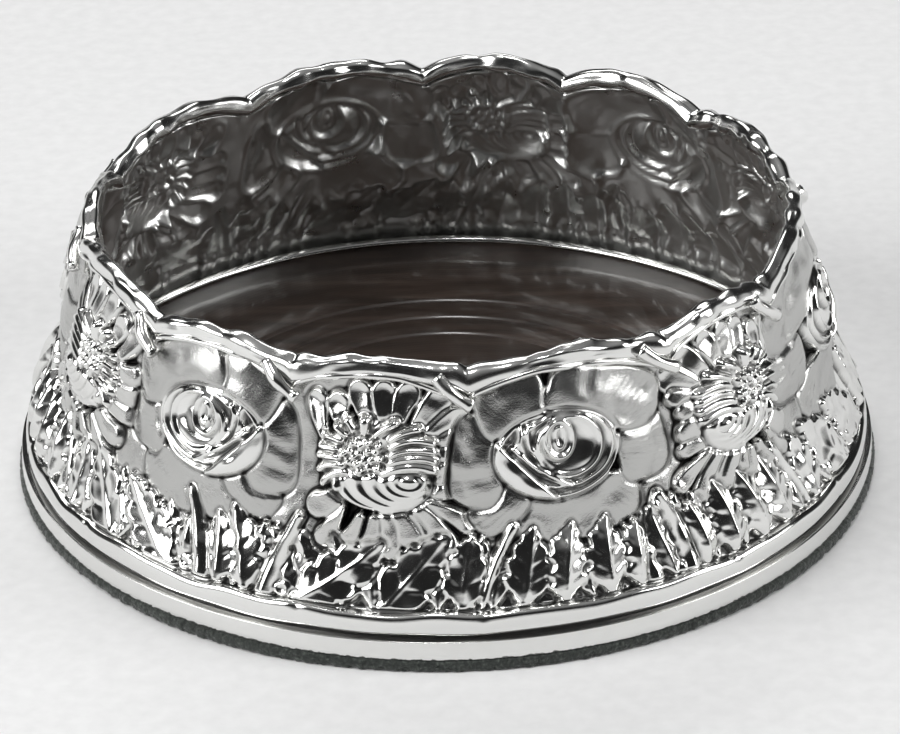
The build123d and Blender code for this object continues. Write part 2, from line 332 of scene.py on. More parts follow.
def polished_mahogany():
    """Mahogany stained nearly black under a shellac gloss: long grain and the fine rings of the lathe."""
    grain_mm = 2.2
    lathe_mm = 0.9
    wave_step = 0.314  # width of a ring of the wave texture at a scale of one
    material = new_material("mahogany_french_polished")
    place = add_node(material, "ShaderNodeTexCoord").outputs["Object"]
    along = add_node(material, "ShaderNodeMapping", {"Vector": place, "Scale": (0.12, 1.0, 1.0)})
    grain = add_node(
        material, "ShaderNodeTexNoise",
        {"Vector": along.outputs[0], "Scale": 1 / (grain_mm * mm), "Detail": 6.0, "Distortion": 0.6},
    )
    tone = add_node(
        material, "ShaderNodeValToRGB", {"Fac": grain.outputs["Fac"]},
        stops=[(0.3, "#2C231E"), (0.55, "#40352F"), (0.75, "#54473F")],
    )
    rings = add_node(
        material, "ShaderNodeTexWave",
        {"Vector": place, "Scale": wave_step / (lathe_mm * mm), "Distortion": 0.4},
        wave_type="RINGS", rings_direction="Z",
    )
    turned = add_node(
        material, "ShaderNodeBump", {"Height": rings.outputs["Fac"], "Strength": 0.08, "Distance": 0.05 * mm}
    )
    surface = add_node(
        material, "ShaderNodeBsdfPrincipled",
        {
            "Base Color": tone.outputs[0],
            "Roughness": 0.3,
            "Coat Weight": 0.5,
            "Coat Roughness": 0.12,
            "Normal": turned.outputs[0],
        },
    )
    add_node(material, "ShaderNodeOutputMaterial", {"Surface": surface.outputs[0]})
    return material


wood_radii = [0.0, wood_edge, wood_edge, wood_field, wood_field, wood_field - wood_broken_edge]
wood_heights = [wood_foot, wood_foot]
wood_heights += [wood_top - band_ledge, wood_top - band_ledge, wood_top - wood_broken_edge, wood_top]
for radius in reversed(turned_rings):
    for share in (1.0, 0.75, 0.5, 0.25, 0.0, -0.25, -0.5, -0.75, -1.0):
        wood_radii.append(radius + share * turned_ring_width / 2)
        wood_heights.append(wood_top - turned_ring_depth * (1 + cos(pi * share)) / 2)
wood_radii.append(0.0)
wood_heights.append(wood_top)
wood = ring_piece("turned_floor", wood_radii, wood_heights, wood_columns, polished_mahogany(), closed=False)
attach(wood, "root")
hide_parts("wood_base")

# Base pins
# Brass escutcheon pins, driven from below through the rebate of the floor into the ledge.
# They are covered by the felt, and only come to light when it is taken off.


def drawn_brass():
    """Drawn brass wire, dulled by age: warm, with a soft shine and small brown spots."""
    spot_mm = 0.4
    material = new_material("drawn_brass_dull")
    place = add_node(material, "ShaderNodeTexCoord").outputs["Object"]
    spots = add_node(
        material, "ShaderNodeTexNoise", {"Vector": place, "Scale": 1 / (spot_mm * mm), "Detail": 4.0}
    )
    tone = add_node(
        material, "ShaderNodeValToRGB", {"Fac": spots.outputs["Fac"]},
        stops=[(0.3, "#8A6A32"), (0.7, "#C9A45C")],
    )
    surface = add_node(
        material, "ShaderNodeBsdfPrincipled",
        {"Base Color": tone.outputs[0], "Metallic": 1.0, "Roughness": 0.35},
    )
    add_node(material, "ShaderNodeOutputMaterial", {"Surface": surface.outputs[0]})
    return material


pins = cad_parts["base_pins"]
pins.data.materials.clear()
pins.data.materials.append(drawn_brass())

# Bezel ring
# A thin half round strip of silver that covers the joint between floor and wall.
# It is pressed down by hand, so its line wavers a little.
bezel_low, bezel_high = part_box("bezel_ring")
bezel_outer = bezel_high[0] / mm
bezel_foot = bezel_low[2] / mm
bezel_width = 2.2
bezel_height = (bezel_high[2] - bezel_low[2]) / mm
bezel_sway = ripple(even_turns(ring_columns), 3, 24, 0.06)
bezel_radii = []
bezel_heights = []
for share in np.linspace(0, 1, 11):
    bow = sin(pi * share)
    bezel_radii.append(bezel_outer - bezel_width * (1 - cos(pi * share)) / 2 + bezel_sway * bow)
    bezel_heights.append(bezel_foot + bezel_height * bow)
bezel = ring_piece("half_round_bezel", bezel_radii, bezel_heights, ring_columns, plain_silver)
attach(bezel, "root")
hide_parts("bezel_ring")

# Gallery wall
# One sheet of silver, raised from behind and chased from the front into asters, roses and leaves.
# It flares out to a plain ribbon at the foot, and its inside shows the hollow reverse of the flowers.
# The relief is worked out on a grid of rows up the wall and columns round it, in millimetres.
flare_foot = (72.3, 9.7)
flare_waist = (66.2, 25.0)
flare_mouth = (60.9, 48.35)
sheet_thickness = 1.1
wall_valley = 43.0
scallop_rise = 3.5
scallop_fullness = 2.2
valley_turns = [3.2, 34.9, 59.4, 100.3, 130.6, 157.8, 183.1, 215.8, 252.6, 277.9, 310.7, 336.8]
middle_radius = 65.0
pitch = 0.22
relief_rows = 176
relief_columns = int(2 * pi * middle_radius / pitch)
matted_from = 17.0
matted_fade = 4.0
edge_softness = 0.34
edge_drop = 0.35
edge_run = 0.25
groove_depth = 0.45
groove_width = 0.3
aster_level = 32.4
rose_level = 32.6
boss_lift = 2.2
boss_reach = 17.0
wave_length = 6.4
chased_lines = 90
form_margin = 1.5  # how far round a form its groove and soft edge reach


def circle_through(a, b, c):
    """Centre and radius of the circle through three points."""
    turn = 2 * (a[0] * (b[1] - c[1]) + b[0] * (c[1] - a[1]) + c[0] * (a[1] - b[1]))
    squares = [p[0] ** 2 + p[1] ** 2 for p in (a, b, c)]
    x = squares[0] * (b[1] - c[1]) + squares[1] * (c[1] - a[1]) + squares[2] * (a[1] - b[1])
    y = squares[0] * (c[0] - b[0]) + squares[1] * (a[0] - c[0]) + squares[2] * (b[0] - a[0])
    centre = (x / turn, y / turn)
    return centre, hypot(a[0] - centre[0], a[1] - centre[1])


flare_centre, flare_radius = circle_through(flare_foot, flare_waist, flare_mouth)


def flare(height):
    """Radius of the plain wall at a height."""
    return flare_centre[0] - np.sqrt(flare_radius ** 2 - (height - flare_centre[1]) ** 2)


def lobe_places(turns):
    """Places along the scallops, each from -1 in its left valley to 1 in its right one."""
    angle = np.degrees(turns) % 360
    valleys = np.array(valley_turns)
    after = np.searchsorted(valleys, angle) % len(valleys)
    start = valleys[after - 1]
    width = (valleys[after] - start) % 360
    return 2 * ((angle - start) % 360) / width - 1


def scallops(turns):
    """Height of the wall's edge above its valleys, over one lobe after another."""
    return scallop_rise * (1 - np.abs(lobe_places(turns)) ** scallop_fullness)


wall_turns = even_turns(relief_columns)
wall_edge = wall_valley + scallops(wall_turns)
row_shares = np.linspace(0, 1, relief_rows)[:, None]
levels = flare_foot[1] + row_shares * (wall_edge - flare_foot[1])
relief = np.zeros_like(levels)
satin = np.clip((levels - matted_from) / matted_fade, 0, 1)


def spot(angle, height, reach):
    """Columns of the sheet near a place, with millimetres across and up from it on the unrolled wall."""
    step = radians(angle) * middle_radius / pitch
    columns = np.arange(int(step - reach / pitch), int(step + reach / pitch) + 2)
    across = (columns - step) * pitch
    columns = columns % relief_columns
    up = levels[:, columns] - height
    return columns, np.broadcast_to(across, up.shape), up


def lay(columns, edge, lift, finish=0.0):
    """Lays a raised form over what is there, from polished at 0 to satin at 1.

    Edge is how far inside the form's outline a point lies. A groove is chased along that outline.
    """
    cover = np.clip(edge / edge_softness + 0.5, 0, 1)
    cover = cover * cover * (3 - 2 * cover)
    under = relief[:, columns] - groove_depth * np.exp(-(edge / groove_width) ** 2)
    rounded = lift - edge_drop * np.exp(-np.clip(edge, 0, None) / edge_run)
    relief[:, columns] = under + (rounded - under) * cover
    satin[:, columns] += (finish - satin[:, columns]) * cover


def smooth(value, low, high):
    """Eases from 0 at the low value to 1 at the high one."""
    share = np.clip((value - low) / (high - low), 0, 1)
    return share * share * (3 - 2 * share)


def hump(distance, width):
    """Rounded ridge or groove of height 1 along a line."""
    return np.exp(-(distance / width) ** 2)


def boss(x, y):
    """Low dome that each flower is raised on."""
    return boss_lift * np.clip(1 - (x * x + y * y) / boss_reach ** 2, 0, 1)


def bent_line(path, steps):
    """Shares and places along a line that starts at a root, leans over a bend and ends at a tip."""
    start, bend, tip = [np.array(p, float) for p in path]
    for t in np.linspace(0, 1, steps):
        yield t, start * (1 - t) ** 2 + 2 * bend * t * (1 - t) + tip * t * t


def stroke(
    angle, level, path, halves, lift, bowl=0.0, crown=0.0, flip=1,
    domed=1, rim=0.0, roof=0.0, fall=0.0, finish=0.0,
):
    """Form along a bent line from root to tip: hollow as a spoon, round as a cord or creased as a roof."""
    columns, x, y = spot(angle, level, max(abs(p[0]) for p in path) + max(halves) + form_margin)
    x = flip * x
    edge = np.full(x.shape, -99.0)
    share = np.zeros_like(x)
    for t, here in bent_line(path, 26):
        half = halves[0] + (halves[1] - halves[0]) * t
        inside = half - np.hypot(x - here[0], y - here[1])
        nearer = inside > edge
        edge = np.where(nearer, inside, edge)
        share = np.where(nearer, t, share)
    half = halves[0] + (halves[1] - halves[0]) * share
    deep = np.clip(edge / half, 0, 1)
    body = crown * half * np.sqrt(1 - (1 - deep) ** 2) - bowl * smooth(deep, 0.2, 0.85) * (0.3 + 0.7 * share)
    body = body + rim * hump(edge - 0.4, 0.25) + roof * half * deep - fall * share
    lay(columns, edge, lift + body + domed * boss(x, y), finish)


def pad(
    angle, level, middle, halves, tilt, lift, bowl=0.0, crown=0.0, flip=1,
    domed=1, lines=0.0, square=2.0, ease=0.5, slant=0.0, wave=0.0, finish=0.0,
):
    """Broad form about a middle, hollow or round: a petal, a bead or a cut end."""
    columns, x, y = spot(angle, level, abs(middle[0]) + max(halves) + form_margin)
    x = flip * x
    lean = radians(tilt)
    right = x - middle[0]
    up = y - middle[1]
    u = np.abs(right * cos(lean) + up * sin(lean)) / halves[0]
    along = up * cos(lean) - right * sin(lean)
    v = np.abs(along) / halves[1]
    edge = (1 - (u ** square + v ** square) ** (1 / square)) * min(halves)
    deep = np.clip(edge / min(halves), 0, 1)
    body = crown * (1 - (1 - deep) ** 2) ** ease - bowl * smooth(deep, 0.12, 0.7)
    body = body - slant * along + wave * np.cos((along + 0.5) * 2 * pi / wave_length)
    rays = lines * np.cos(np.arctan2(y, x) * chased_lines)
    chased = rays * smooth(np.hypot(x, y), 8, 11) * smooth(deep, 0.05, 0.3)
    lay(columns, edge, lift + body + chased + domed * boss(x, y), finish)


# Outer petals of an aster, drawn as on the front one: root, tip and half width at the tip
aster_petals = (
    ((-8.8, 3.9), (-11.4, 11.7), 1.8),
    ((-5.8, 5.7), (-7.7, 11.9), 2.0),
    ((-1.3, 6.5), (-4.0, 14.5), 2.0),
    ((1.3, 7.0), (0.9, 15.0), 1.95),
    ((3.5, 7.0), (5.6, 14.5), 2.05),
    ((6.4, 6.2), (11.4, 12.4), 2.25),
    ((8.9, 5.1), (15.3, 9.1), 2.1),
    ((9.5, 3.1), (14.5, 4.7), 1.3),
    ((8.9, 1.4), (13.8, 1.6), 1.35),
    ((8.9, -1.8), (13.5, -1.8), 1.85),
    ((8.0, -4.9), (13.7, -5.1), 1.2),
    ((8.3, -6.5), (15.8, -10.9), 1.75),
    ((5.1, -7.0), (8.7, -12.8), 1.4),
    ((6.8, -7.0), (12.2, -13.8), 1.8),
    ((1.4, -8.2), (2.8, -15.5), 1.8),
    ((3.3, -7.6), (6.2, -13.6), 1.9),
    ((-0.3, -8.8), (-1.3, -15.1), 1.65),
    ((-2.4, -8.6), (-5.1, -14.2), 1.6),
    ((-5.7, -7.4), (-9.0, -14.3), 1.85),
    ((-6.7, -5.9), (-11.1, -9.2), 2.0),
)
# Petals that only an aster on a wide scallop has room for
spare_petals = (
    ((-8.4, -3.4), (-12.8, -4.4), 1.6),
    ((-8.6, -0.3), (-12.9, -0.5), 1.5),
    ((-8.4, 2.4), (-12.9, 3.3), 1.5),
)
# Curled petals of its heart: nested shells below the disc, then curls by root, bend, tip and half width
aster_shells = (
    ((0.6, -3.3), (8.4, 5.0)),
    ((1.9, -3.2), (6.9, 4.4)),
    ((3.2, -3.1), (5.4, 3.7)),
    ((4.3, -3.1), (4.1, 2.9)),
    ((5.1, -3.0), (3.0, 2.0)),
    ((5.2, -2.9), (1.6, 1.0)),
)
aster_curls = (
    ((-6.5, -3.4), (-6.6, -4.0), (-6.3, -4.8), 0.8),
    ((-4.9, -2.0), (-7.6, -2.2), (-8.6, -4.3), 0.75),
    ((-5.3, -1.1), (-8.4, -0.9), (-9.3, -2.2), 0.7),
    ((-5.7, 0.1), (-7.6, 0.6), (-9.5, 0.1), 0.65),
    ((-5.7, 1.6), (-7.5, 2.0), (-9.3, 1.7), 0.65),
    ((-5.5, 3.0), (-6.9, 3.7), (-8.2, 3.7), 0.7),
    ((-5.1, 4.2), (-5.9, 4.9), (-6.6, 5.3), 0.85),
    ((-3.9, 5.0), (-4.3, 5.9), (-4.8, 6.5), 0.9),
    ((-2.0, 4.7), (-2.0, 5.5), (-2.0, 6.6), 1.1),
    ((-0.5, 4.1), (0.8, 5.6), (3.0, 6.6), 0.8),
    ((2.2, 3.6), (3.9, 5.3), (6.7, 5.6), 0.8),
    ((2.2, 2.3), (5.1, 4.6), (9.0, 3.3), 0.85),
    ((2.0, 1.0), (5.1, 2.8), (9.1, 1.8), 0.75),
    ((1.6, -0.4), (5.1, 1.5), (9.1, 0.3), 0.8),
    ((1.0, -1.8), (5.1, 0.3), (9.0, -1.2), 0.85),
)
aster_dome = ((0.0, -0.6), (9.4, 7.4))
aster_disc = ((-2.15, 0.95), (3.6, 3.1))
aster_beads = 19
bead_half = 0.76
golden_turn = 2.39996


def aster_flower(angle, stretch, flip):
    """Ring of spoon petals, narrow at the root. They are hollow above, plain beside and round below."""
    petals = aster_petals + spare_petals if stretch > 1 else aster_petals
    for root, tip, half in petals:
        wander = chance.normal(0, 0.2, 2)
        upper = smooth(tip[1], 6, 10)
        tip = (tip[0] * stretch + wander[0], tip[1] * (0.97 - 0.06 * upper) + wander[1])
        run = (tip[0] - root[0], tip[1] - root[1])
        back = 1 - 0.9 * half / hypot(*run)
        tip = (root[0] + run[0] * back, root[1] + run[1] * back)
        bend = (root[0] + run[0] * 0.45 - 0.07 * run[1], root[1] + run[1] * 0.45 + 0.07 * run[0])
        lower = smooth(-tip[1], 6, 10)
        beside = (1 - upper) * (1 - lower)
        half = half * (1 + 0.12 * upper + 0.2 * beside)
        lift = 0.5 + chance.uniform(0, 0.2) - 0.15 * beside
        stroke(
            angle, aster_level, (root, bend, tip), ((0.6 + 0.3 * beside) * half, half), lift,
            bowl=0.2 * upper, crown=0.3 * lower + 0.1 * beside, flip=flip, rim=0.22 - 0.17 * beside,
            fall=0.6 * upper, finish=0.6 - 0.4 * upper,
        )


def aster_heart(angle, flip):
    """Dome of curled petals about a beaded disc, which is set to one side."""
    level = aster_level + 0.5
    pad(angle, level, *aster_dome, 0, 0.2, crown=0.7, flip=flip)
    for n, (middle, halves) in enumerate(aster_shells):
        pad(angle, level, middle, halves, -4, 0.7 + 0.15 * n, crown=0.6, flip=flip)
    for root, bend, tip, half in aster_curls:
        stroke(angle, level, (root, bend, tip), (0.75 * half, 1.05 * half), 0.8, crown=0.9, flip=flip)
    (right, up), halves = aster_disc
    pad(angle, level, (right, up), halves, 0, 0.6, crown=0.5, flip=flip)
    for k in range(aster_beads):
        far = np.sqrt((k + 0.5) / aster_beads)
        turn = golden_turn * k
        bead_right = right + (halves[0] - 0.3) * far * cos(turn)
        bead_up = up + (halves[1] - 0.3) * far * sin(turn)
        pad(angle, level, (bead_right, bead_up), (bead_half, bead_half), 0, 0.9, crown=0.6, flip=flip)


# Outer petals of a rose: middle, half sizes, tilt, lift, how hollow it is or with a minus how round,
# height of the lines chased towards the edge, how far the petal leans back, height of the wave across it
rose_petals = (
    ((1.0, -9.4), (12.0, 5.0), 0, 0.1, 0.25, 0.05, 0, 0),
    ((-10.2, -7.6), (5.0, 3.7), 35, 0.2, -0.6, 0.035, 0, 0),
    ((-12.9, 0.0), (4.7, 7.7), -4, 0.2, -0.8, 0.015, 0.03, 0),
    ((13.3, -1.8), (5.2, 5.6), 8, 0.2, -0.9, 0.03, 0, 0),
    ((-7.3, 9.0), (6.4, 5.2), 20, 0.3, -0.6, 0.02, 0.1, 0),
    ((7.7, 7.8), (11.0, 5.2), -14, 0.7, 0, 0.02, 0.03, 0.1),
)
# Lips wound round its bud: middle, half sizes, lift
rose_lips = (
    ((-0.1, -0.2), (10.6, 7.3), 0.5),
    ((0.8, 0.3), (8.6, 6.3), 0.9),
    ((1.4, 0.9), (5.8, 5.3), 1.3),
    ((-0.3, 2.3), (2.7, 3.5), 1.5),
    ((-0.2, 2.6), (1.0, 2.2), 1.3),
)
# Edges of petals that show on its left between two lips: root, bend, tip, half width
rose_edges = (
    ((-6.3, 4.6), (-7.4, 1.0), (-3.6, -2.9), 0.4),
    ((-5.0, 5.0), (-6.2, 1.2), (-2.1, -2.9), 0.35),
    ((-7.8, 1.4), (-4.2, -2.6), (1.2, -5.6), 0.5),
)
# Petal folded over its lower side: half sizes, and a point of the folded edge with the way it faces
rose_fold_halves = (10.8, 7.5)
rose_fold_start = (-10.3, 2.9)
rose_fold_faces = (0.733, 0.68)


def rose_flower(angle, stretch, flip):
    """Broad petals that overlap round the bud."""
    for (right, up), halves, tilt, lift, hollow, lines, slant, wave in rose_petals:
        tilt = tilt + chance.normal(0, 3)
        lift = lift + chance.normal(0, 0.05)
        halves = (halves[0] * max(1, stretch / 1.1), halves[1])
        pad(
            angle, rose_level, (right * stretch, up), halves, tilt, lift,
            bowl=max(hollow, 0), crown=max(-hollow, 0), flip=flip,
            lines=lines, square=3.2, ease=1, slant=slant, wave=wave, finish=1.0,
        )


def rose_heart(angle, flip):
    """Bud of lips wound inside each other, with a broad petal folded over their lower side."""
    level = rose_level + 0.6
    columns, x, y = spot(angle, level, 13)
    x = flip * x
    for (right, up), (half_width, half_height), lift in rose_lips:
        edge = (1 - np.hypot((x - right) / half_width, (y - up) / half_height)) * half_height
        lip = 0.3 * hump(edge - 0.4, 0.3)
        well = 0.55 * smooth(edge, 0.45, 1.0) + (0.6 + 0.14 * (y - up)) * smooth(edge, 1.0, 3.0)
        lay(columns, edge, boss(x, y) + lift + lip - well)
    for root, bend, tip, half in rose_edges:
        stroke(angle, level, (root, bend, tip), (half, half), 0.85, crown=1.0, flip=flip)
    right, up = rose_lips[0][0]
    half_width, half_height = rose_fold_halves
    fold = (x - rose_fold_start[0]) * rose_fold_faces[0] + (y - rose_fold_start[1]) * rose_fold_faces[1]
    edge = (1 - np.hypot((x - right) / half_width, (y - up) / half_height)) * half_height
    edge = np.minimum(edge, -fold)
    pillow = 1.2 * np.sqrt(np.clip(edge / 3.2, 0, 1)) + 0.3 * hump(fold + 0.45, 0.35)
    lay(columns, edge, boss(x, y) + 0.75 + pillow)


# Leaves over one sixth of the wall, in degrees round it and millimetres up: foot, bend and head of the
# midrib, half width, teeth on a side, and how far the two halves are folded down from the midrib
leaves = (
    ((-31.8, 10.0), (-30.8, 15.0), (-28.4, 21.8), 3.8, 4, 0.25),
    ((15.4, 10.0), (15.4, 14.5), (17.4, 21.0), 3.8, 4, 0.45),
    ((25.6, 10.0), (25.2, 14.0), (26.4, 19.4), 3.2, 3, 0.5),
    ((1.4, 10.0), (1.6, 14.0), (3.0, 20.6), 3.6, 3, 0.05),
    ((-27.4, 10.0), (-27.4, 14.0), (-25.8, 20.0), 3.5, 3, 0.2),
    ((9.8, 10.0), (10.6, 14.5), (11.9, 21.2), 3.8, 4, 0.25),
    ((20.8, 10.0), (20.4, 15.0), (21.6, 21.2), 3.6, 4, 0.5),
    ((-19.8, 9.9), (-15.6, 12.8), (-9.0, 19.6), 4.3, 4, 0.0),
    ((-8.2, 9.9), (-5.6, 13.6), (-0.4, 20.6), 4.2, 3, 0.0),
    ((31.8, 10.0), (31.0, 15.0), (32.8, 21.4), 3.4, 4, 0.4),
)
# Stems of the same sixth, creased along the middle: foot, bend, head, half widths
stems = (
    ((4.2, 9.8), (4.9, 14.5), (8.8, 21.8), (0.5, 1.0)),
    ((-24.6, 10.0), (-23.9, 15.0), (-20.9, 22.4), (1.7, 1.0)),
    ((27.8, 10.0), (27.6, 15.0), (30.4, 22.4), (1.5, 1.0)),
)
cut_twig = (-22.1, 10.9)
cut_twig_half = 1.2
belt_middle = 0.5
sixths = 6
sixth = 360 / sixths
back_leaves = 15
notch_share = 0.24
notch_width = 0.55
vein_width = 0.22
midrib_width = 0.3


def leaf(place, foot, path, half_width, teeth, lift, fold, flip):
    """Toothed leaf: fingers parted by veins on both sides of a thin midrib, with a turned edge."""
    columns, x, y = spot(place, foot, max(abs(p[0]) for p in path) + half_width + form_margin)
    x = flip * x
    long = np.hypot(*np.subtract(path[2], path[0]))
    away = np.full(x.shape, 99.0)
    share = np.zeros_like(x)
    for t, here in bent_line(path, 40):
        distance = np.hypot(x - here[0], y - here[1])
        nearer = distance < away
        away = np.where(nearer, distance, away)
        share = np.where(nearer, t, share)
    spread = half_width * np.sin(pi * np.clip(share, 0.02, 0.98) ** 0.9) ** 0.5
    finger = teeth * (share - 0.7 * away / long)
    parting = np.abs(finger - np.round(finger)) * long / teeth * 0.75
    edge = (spread * (1 - notch_share * hump(parting, notch_width)) - away) * 0.9
    body = fold * (spread - away) + 0.18 * hump(edge - 0.35, 0.2)
    body = body - 0.2 * hump(parting, vein_width) * smooth(away, 0.3, 1.2)
    body = body + 0.25 * hump(away, midrib_width) - 0.1 * smooth(edge, 0.3, 1.2) + 0.07 * (9 - y)
    lay(columns, edge, lift + body)


def unrolled(foot, *rest):
    """Path of a midrib or stem in millimetres from its foot."""
    return [(radians(a - foot[0]) * middle_radius, z - foot[1]) for a, z in (foot, *rest)]


def belt(sector, flip):
    """Leaves over one sixth of the wall, drawn as at the front or turned over, on a row of small ones."""
    middle = belt_middle + sixth * sector
    for k in range(back_leaves):
        place = middle - sixth / 2 + sixth / back_leaves * k + chance.normal(0, 0.5)
        lean = chance.normal(0, 2.0)
        path = ((0, 0), (0.3 * lean, 4.0), (lean, 8.0 + chance.uniform(0, 3)))
        leaf(place, 10, path, 2.6, 3, 0.3, 0.25, 1)
    for foot, bend, head, half_width, teeth, fold in (leaves[1:] if flip > 0 else leaves[:-1]):
        place = middle + flip * (foot[0] - belt_middle) + chance.normal(0, 0.2)
        leaf(place, foot[1], unrolled(foot, bend, head), half_width, teeth, 0.85, fold, flip)
    for foot, bend, head, halves in stems:
        place = middle + flip * (foot[0] - belt_middle)
        stroke(place, foot[1], unrolled(foot, bend, head), halves, 1.2, flip=flip, domed=0, roof=0.5)
    twig = middle + flip * (cut_twig[0] - belt_middle)
    pad(twig, cut_twig[1], (0, 0), (cut_twig_half, cut_twig_half), 0, 1.6, bowl=0.7, domed=0)


# Roses and asters take turns. They were drawn on a scallop of 29 degrees, and each is stretched to its own
# and turned over where that varies the row. A rose sits a little to the left, and its bud to one side
drawn_width = 29
rose_shift = 1.7
rose_petals_aside = 0.7
rose_bud_aside = 1.3
flowers = []
for k, valley in enumerate(valley_turns):
    width = (valley_turns[(k + 1) % len(valley_turns)] - valley) % 360
    stretch = np.clip(width / drawn_width, 0.97, 1.4)
    flowers.append((valley + width / 2, stretch, 1 if k % 4 in (0, 3) else -1))
roses = flowers[::2]
asters = flowers[1::2]
for angle, stretch, flip in asters:
    aster_flower(angle, stretch, flip)
for angle, stretch, flip in roses:
    rose_flower(angle - rose_shift - rose_petals_aside * flip, stretch, flip)
for sector in range(sixths):
    belt(sector, -1 if sector % 2 else 1)
for angle, stretch, flip in asters:
    aster_heart(angle, flip)
for angle, stretch, flip in roses:
    rose_heart(angle - rose_shift - rose_bud_aside * flip, flip)


def ease_round(field, times):
    """Averages a field with its neighbours round the coaster, without end."""
    for _ in range(times):
        field = (np.roll(field, 1, -1) + 2 * field + np.roll(field, -1, -1)) / 4
    return field


def soften(field, times):
    """Averages a field with its neighbours, round the coaster and up to its edges."""
    for _ in range(times):
        field = ease_round(field, 1)
        padded = np.vstack([field[:1], field, field[-1:]])
        field = (padded[:-2] + 2 * field + padded[2:]) / 4
    return field


# The hammer leaves shallow dents, and the relief dies out at the ribbon
hammer_dent = 0.1
lowest_relief = -0.6
highest_relief = 4.2
dents = soften(chance.normal(size=relief.shape), 50)
relief = relief + hammer_dent * dents / dents.std()
relief = soften(np.clip(relief, lowest_relief, highest_relief), 2) * smooth(levels, 9.5, 10.0)

# The reverse is bold behind the flowers and soft behind the leaves, with enough sheet left everywhere
swell = soften(relief, 30)
boldness = 0.8 + 0.9 * smooth(levels, 20, 25)
least_sheet = 0.5
reverse_satin = 0.5
# The reverse carries a quarter of the oxide and painted shade of the front
reverse_oxide_and_shade = 0.25
hollow = swell + boldness * (soften(relief, 4) - swell)
hollow = np.minimum(hollow, soften(relief, 2) + sheet_thickness - least_sheet)

# Oxide and painted shade lie in broad hollows, and darker in narrow grooves
oxide_and_shade = np.clip((soften(relief, 40) - relief - 0.1) / 1.4, 0, 0.6)
oxide_and_shade = np.clip(oxide_and_shade + (soften(relief, 8) - relief - 0.04) / 0.35, 0, 1)


def wall_rows(heights, lift):
    """Radii and heights of wall points lifted off the flare along its normal."""
    radius = flare(heights)
    slope = np.arctan2(flare_centre[1] - heights, flare_centre[0] - radius)
    return radius + lift * np.cos(slope), heights + lift * np.sin(slope)


# The ribbon under the leaves is planished by eye: its edges waver, and a few leaves nick its upper edge.
# Rows of its section: radius, height, shares of the lower and of the upper waver, depth of the nicks
ribbon = (
    (73.9, 5.4, 0, 0, 0),
    (73.9, 6.2, 1, 0, 0),
    (74.35, 6.25, 1, 0, 0),
    (74.5, 6.45, 1, 0, 0.1),
    (74.5, 7.0, 0.6, 0.2, 0.15),
    (74.4, 8.2, 0.3, 0.5, 0.2),
    (74.25, 9.0, 0, 0.8, 0.4),
    (74.0, 9.5, 0, 1, 0.6),
    (73.4, 9.7, 0, 1, 0.6),
    (72.6, 9.62, 0, 0.8, 0.4),
)
# Painted shade in the ribbon's colour: full in the groove down to the band, and nearly as dark along the
# seam under the leaves
ribbon_painted_shade = [1.0, 1.0, 0.6] + [0.0] * (len(ribbon) - 4) + [0.7]
ribbon_low = ripple(wall_turns, 4, 30, 0.16)
ribbon_high = ripple(wall_turns, 5, 40, 0.3)
nick_width = 0.7
nicks = np.zeros(relief_columns)
for sector in range(sixths):
    for foot in (leaves[7][0], stems[0][0]):
        away = (np.degrees(wall_turns) - foot[0] - sixth * sector + 180) % 360 - 180
        nicks += hump(away, nick_width)
ribbon_radii = [radius - 0.5 * depth * nicks for radius, _, _, _, depth in ribbon]
ribbon_heights = [height + low * ribbon_low + high * ribbon_high for _, height, low, high, _ in ribbon]

# The section runs up the ribbon and the chased face, over the edge and down the reverse to the sole
one_row = np.ones((1, relief_columns))
sole = ribbon[0][1]
outer_radii, outer_heights = wall_rows(levels, relief)
inner_radii, inner_heights = wall_rows(levels[::-2], hollow[::-2] - sheet_thickness)
sole_radii = wall_rows((sole + 0.2) * one_row, -sheet_thickness)[0]
all_radii = np.vstack([ribbon_radii, outer_radii, inner_radii, sole_radii])
all_heights = np.vstack([ribbon_heights, outer_heights, inner_heights, sole * one_row])
# Oxide and painted shade for every row of the section; the sole is painted fully dark
all_oxide_and_shade = np.vstack([np.outer(ribbon_painted_shade, one_row), oxide_and_shade, reverse_oxide_and_shade * oxide_and_shade[::-2], one_row])
all_satin = np.vstack([np.outer(np.zeros(len(ribbon)), one_row), soften(satin, 2)])
all_satin = np.vstack([all_satin, np.full((len(inner_radii) + 1, relief_columns), reverse_satin)])
chased_silver = polished_silver("chased_silver_oxidised_ground_painted_shade", 0.13, 0.3, oxide_and_shade_strength=0.85)
reverse_silver = polished_silver("hammered_silver_reverse", 0.3, 0.4, oxide_and_shade_strength=0.1)
wall = ring_piece("chased_gallery", all_radii, all_heights, relief_columns, chased_silver)
wall.data.materials.append(reverse_silver)
face_rows = np.repeat(np.arange(len(all_radii)), relief_columns)
reverse_faces = (face_rows >= len(ribbon) + relief_rows).astype(np.int32)
wall.data.polygons.foreach_set("material_index", reverse_faces)
for name, field in (("oxide_and_shade", all_oxide_and_shade), ("satin", all_satin)):
    wall.data.attributes.new(name, "FLOAT", "POINT").data.foreach_set("value", field.ravel())
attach(wall, "root")
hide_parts("gallery_wall")

# Branch rim
# A cast silver twig, bent along the scallops and soldered to the edge of the wall.
# It has knots, buds and lengthwise bark, and a cut side twig leans down the wall at each valley.
branch_radius = 1.6
branch_sunk = 0.1
rim_columns = 1440
rim_sides = 20
rim_circle = 61.0
rim_top = cad_box[1][2] / mm
rim_buds = 130
bark_ridges = 7
# How far a knot fills each valley
valley_knots = (1.0, 0.8, 0.4, 0.1, 0.0, 0.0, 0.1, 0.0, 0.0, 0.2, 0.6, 1.0)
valley_knot_run = 4.0
valley_knot_rise = 1.2


def turn_between(turns, middle):
    """Angles measured from a middle, from minus to plus half a turn."""
    return (turns - middle + pi) % (2 * pi) - pi


